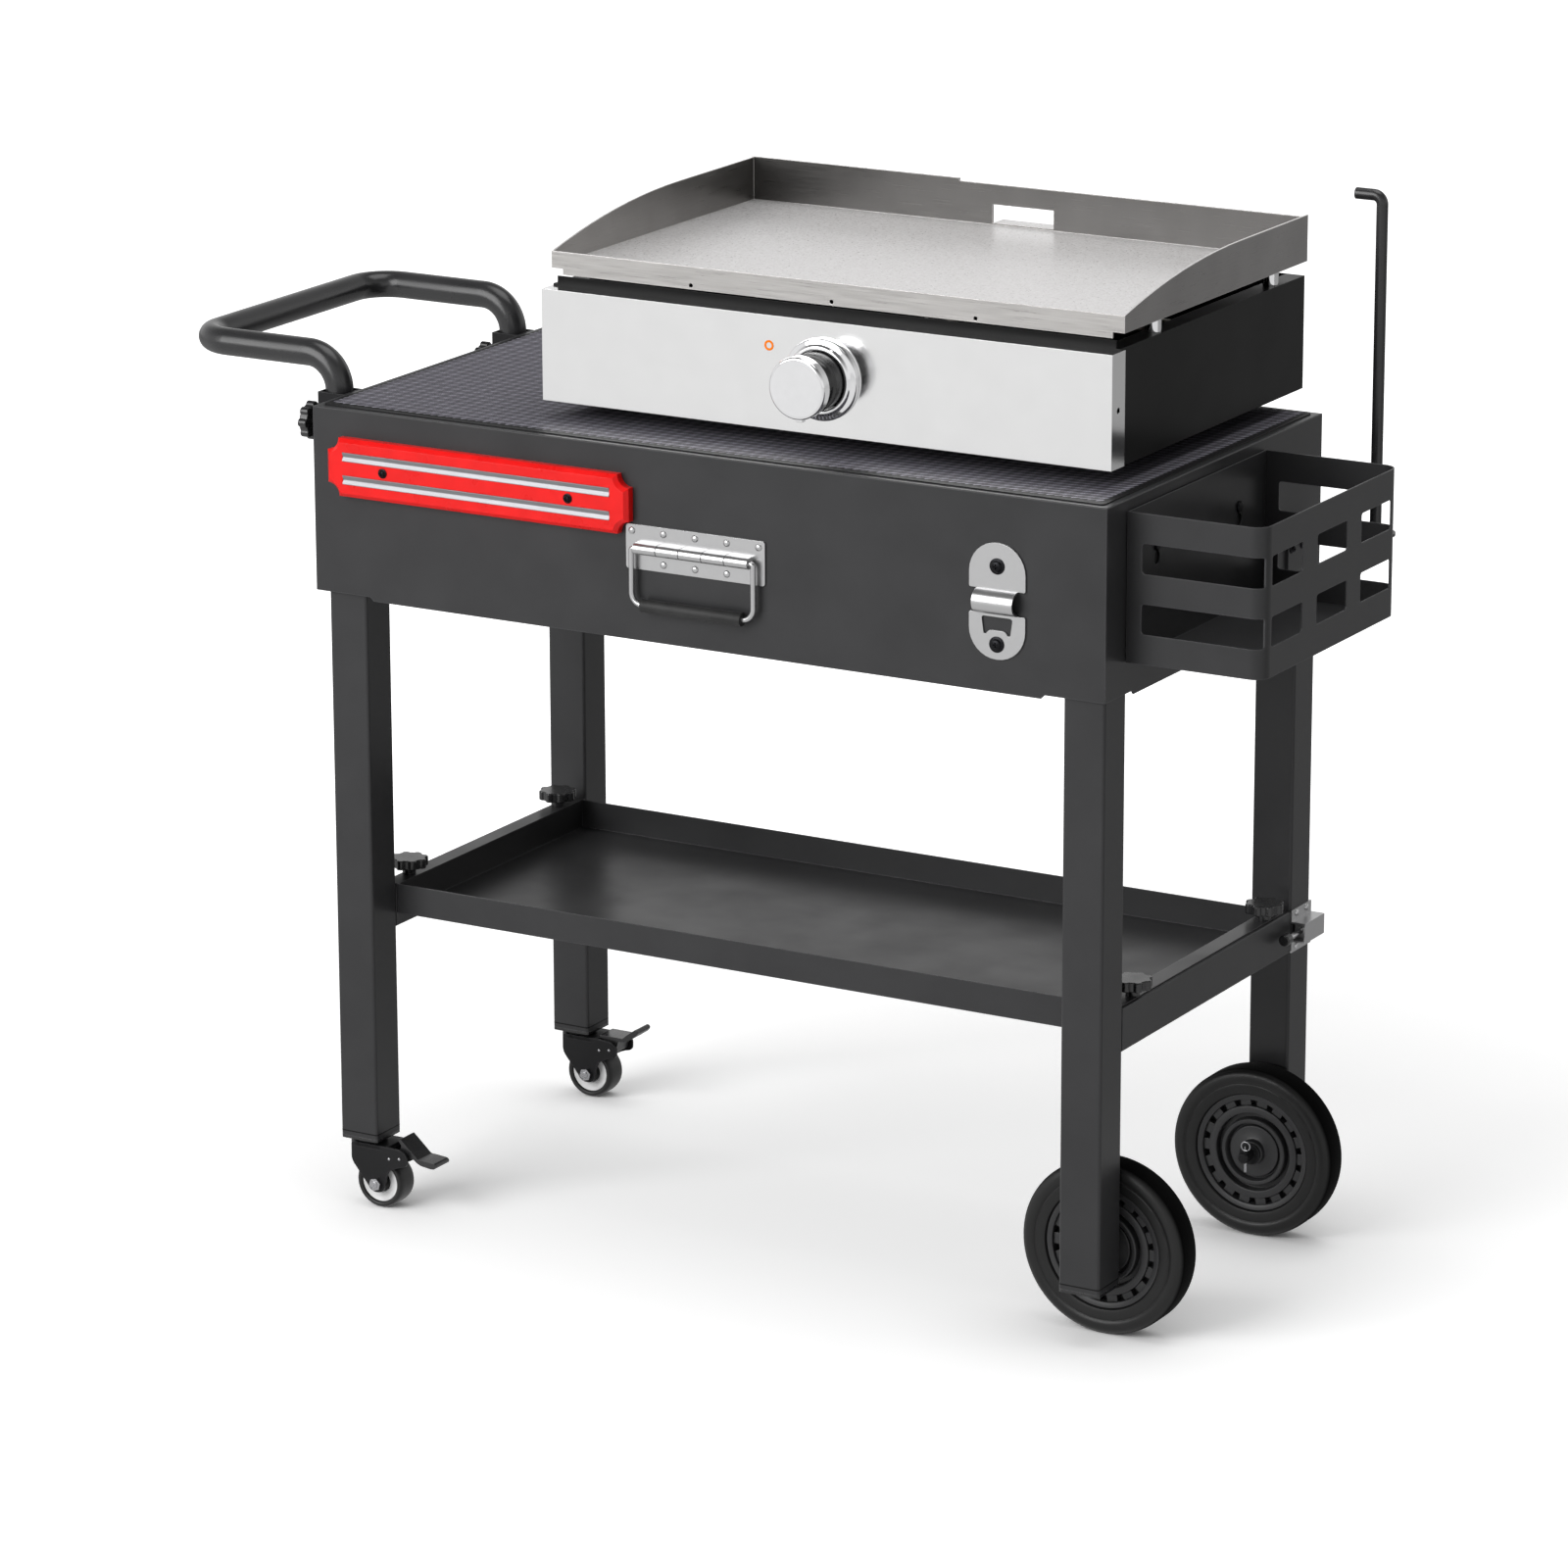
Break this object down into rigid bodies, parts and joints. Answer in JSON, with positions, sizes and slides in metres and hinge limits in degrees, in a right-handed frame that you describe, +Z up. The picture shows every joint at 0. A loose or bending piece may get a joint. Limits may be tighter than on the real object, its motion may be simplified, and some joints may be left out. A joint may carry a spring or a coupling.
{
  "type": "grill cart",
  "caption": "Steel grill cart with a tabletop gas griddle, tray shelf, bottle basket, towel rod, push handle, magnet bar and bottle opener, on wheels and braked casters.",
  "frame": {"origin": "on the floor, at the centre of the bounding box's footprint", "axes": "+X to the basket end, +Y to the back, +Z up"},
  "size_m": [1.2502, 0.5442, 1.0935],
  "materials": {
    "black_steel": "satin black powder coat",
    "mesh": "woven black mesh",
    "red_plastic": "gloss red moulding",
    "magnet_steel": "brushed bars",
    "zinc": "bright zinc plate",
    "black_plastic": "fine grain moulding",
    "black_screw": "black oxide",
    "grip_rubber": "matte sleeve",
    "tyre": "solid rubber",
    "rim_plastic": "moulded rim",
    "axle_steel": "plated",
    "fork_steel": "black stamped steel",
    "caster_rubber": "black tread",
    "hub_plastic": "pale grey core",
    "stainless": "polished stainless sheet",
    "chrome": "mirror chrome",
    "plate_steel": "bare rolled steel",
    "box_black": "black heat paint",
    "burner_steel": "stainless tube",
    "stem_brass": "turned brass",
    "cup_alu": "pressed sheet"
  },
  "bodies": {
    "cart": {"case_roof": "black_steel", "case_sides": "black_steel", "case_ends": "black_steel", "mesh_mat": "mesh", "leg_front_left": "black_steel", "leg_back_left": "black_steel", "leg_front_right": "black_steel", "leg_back_right": "black_steel", "leg_plugs": "black_plastic", "leg_brackets": "fork_steel", "side_rails": "black_steel", "handle_sockets": "fork_steel", "magnet_bar": "red_plastic", "magnet_strips": "magnet_steel", "black_screws": "black_screw", "carry_plate": "zinc", "bottle_opener": "zinc", "rivets": "zinc", "latch_bracket": "zinc", "towel_bracket": "black_steel", "axles": "axle_steel"},
    "caster_front": {"caster_fork_front": "fork_steel", "caster_pins_front": "axle_steel"},
    "caster_back": {"caster_fork_back": "fork_steel", "caster_pins_back": "axle_steel"},
    "caster_wheel_front": {"caster_tyre_front": "caster_rubber", "caster_hub_front": "hub_plastic"},
    "caster_wheel_back": {"caster_tyre_back": "caster_rubber", "caster_hub_back": "hub_plastic"},
    "brake_pedal_front": {"caster_pedal_front": "black_plastic"},
    "brake_pedal_back": {"caster_pedal_back": "black_plastic"},
    "wheel_front": {"wheel_tyre_front": "tyre", "wheel_rim_front": "rim_plastic"},
    "wheel_back": {"wheel_tyre_back": "tyre", "wheel_rim_back": "rim_plastic"},
    "bail": {"carry_bail": "zinc", "carry_grip": "grip_rubber"},
    "latch_bolt": {"latch_pin": "zinc", "latch_knob": "black_plastic"},
    "shelf": {"shelf_tray": "black_steel"},
    "shelf_knob_fl": {"shelf_knob_front_left": "black_plastic"},
    "shelf_knob_bl": {"shelf_knob_back_left": "black_plastic"},
    "shelf_knob_fr": {"shelf_knob_front_right": "black_plastic"},
    "shelf_knob_br": {"shelf_knob_back_right": "black_plastic"},
    "push_handle": {"handle_tube": "black_steel"},
    "handle_knob_f": {"handle_knob_front": "black_plastic"},
    "handle_knob_b": {"handle_knob_back": "black_plastic"},
    "basket": {"basket_wrap": "black_steel", "basket_back": "black_steel"},
    "towel_bar": {"towel_rod": "black_steel"},
    "griddle": {"burner_box": "box_black", "front_panel": "stainless", "griddle_feet": "grip_rubber", "burner": "burner_steel", "knob_bezel": "chrome"},
    "plate": {"griddle_plate": "plate_steel", "plate_posts": "chrome"},
    "knob_push": {"valve_stem": "stem_brass"},
    "knob_turn": {"control_knob": "chrome"},
    "cup": {"grease_cup": "cup_alu"}
  },
  "joints": [
    {"name": "caster_swivel_front", "type": "hinge", "parent": "cart", "child": "caster_front", "pos_m": [-0.38562, -0.23162, 0.067], "axis": [0, 0, 1], "continuous": true},
    {"name": "caster_roll_front", "type": "hinge", "parent": "caster_front", "child": "caster_wheel_front", "pos_m": [-0.36812, -0.23162, 0.0275], "axis": [0, 1, 0], "continuous": true},
    {"name": "brake_front", "type": "hinge", "parent": "caster_front", "child": "brake_pedal_front", "pos_m": [-0.33963, -0.23162, 0.059], "axis": [0, 1, 0], "range_deg": [-42, 0]},
    {"name": "caster_swivel_back", "type": "hinge", "parent": "cart", "child": "caster_back", "pos_m": [-0.38562, 0.18288, 0.067], "axis": [0, 0, 1], "continuous": true},
    {"name": "caster_roll_back", "type": "hinge", "parent": "caster_back", "child": "caster_wheel_back", "pos_m": [-0.36812, 0.18288, 0.0275], "axis": [0, 1, 0], "continuous": true},
    {"name": "brake_back", "type": "hinge", "parent": "caster_back", "child": "brake_pedal_back", "pos_m": [-0.33963, 0.18288, 0.059], "axis": [0, 1, 0], "range_deg": [0, 42]},
    {"name": "wheel_roll_front", "type": "hinge", "parent": "cart", "child": "wheel_front", "pos_m": [0.45487, -0.18918, 0.089], "axis": [0, 1, 0], "continuous": true},
    {"name": "wheel_roll_back", "type": "hinge", "parent": "cart", "child": "wheel_back", "pos_m": [0.45487, 0.14042, 0.089], "axis": [0, 1, 0], "continuous": true},
    {"name": "bail_swing", "type": "hinge", "parent": "cart", "child": "bail", "pos_m": [0.02763, -0.26538, 0.7495], "axis": [-1, 0, 0], "range_deg": [0, 90]},
    {"name": "latch_pull", "type": "slide", "parent": "cart", "child": "latch_bolt", "axis": [0, -1, 0], "range_m": [0, 0.01], "stiffness_N_per_m": 300},
    {"name": "shelf_lift", "type": "slide", "parent": "cart", "child": "shelf", "axis": [0, 0, 1], "range_m": [0, 0.1]},
    {"name": "shelf_knob_fl_turn", "type": "hinge", "parent": "shelf", "child": "shelf_knob_fl", "pos_m": [-0.37338, -0.16937, 0.35], "axis": [0, 0, 1], "continuous": true},
    {"name": "shelf_knob_bl_turn", "type": "hinge", "parent": "shelf", "child": "shelf_knob_bl", "pos_m": [-0.37338, 0.12062, 0.35], "axis": [0, 0, 1], "continuous": true},
    {"name": "shelf_knob_fr_turn", "type": "hinge", "parent": "shelf", "child": "shelf_knob_fr", "pos_m": [0.46713, -0.16937, 0.35], "axis": [0, 0, 1], "continuous": true},
    {"name": "shelf_knob_br_turn", "type": "hinge", "parent": "shelf", "child": "shelf_knob_br", "pos_m": [0.46713, 0.12062, 0.35], "axis": [0, 0, 1], "continuous": true},
    {"name": "handle_lift", "type": "slide", "parent": "cart", "child": "push_handle", "axis": [0, 0, 1], "range_m": [0, 0.065]},
    {"name": "handle_knob_f_turn", "type": "hinge", "parent": "cart", "child": "handle_knob_f", "pos_m": [-0.46692, -0.18438, 0.814], "axis": [-1, 0, 0], "continuous": true},
    {"name": "handle_knob_b_turn", "type": "hinge", "parent": "cart", "child": "handle_knob_b", "pos_m": [-0.46692, 0.14463, 0.814], "axis": [-1, 0, 0], "continuous": true},
    {"name": "basket_lift", "type": "slide", "parent": "cart", "child": "basket", "axis": [0, 0, 1], "range_m": [0, 0.013]},
    {"name": "towel_lift", "type": "slide", "parent": "cart", "child": "towel_bar", "axis": [0, 0, 1], "range_m": [0, 0.03]},
    {"name": "griddle_lift", "type": "slide", "parent": "cart", "child": "griddle", "axis": [0, 0, 1], "range_m": [0, 0.2]},
    {"name": "plate_lift", "type": "slide", "parent": "griddle", "child": "plate", "axis": [0, 0, 1], "range_m": [0, 0.15]},
    {"name": "knob_press", "type": "slide", "parent": "griddle", "child": "knob_push", "axis": [0, 1, 0], "range_m": [0, 0.0035], "stiffness_N_per_m": 600},
    {"name": "knob_turn", "type": "hinge", "parent": "knob_push", "child": "knob_turn", "pos_m": [0.13612, -0.22737, 0.925], "axis": [0, -1, 0], "range_deg": [0, 180]},
    {"name": "cup_lift", "type": "slide", "parent": "griddle", "child": "cup", "axis": [0, 0, 1], "range_m": [0, 0.01]}
  ]
}
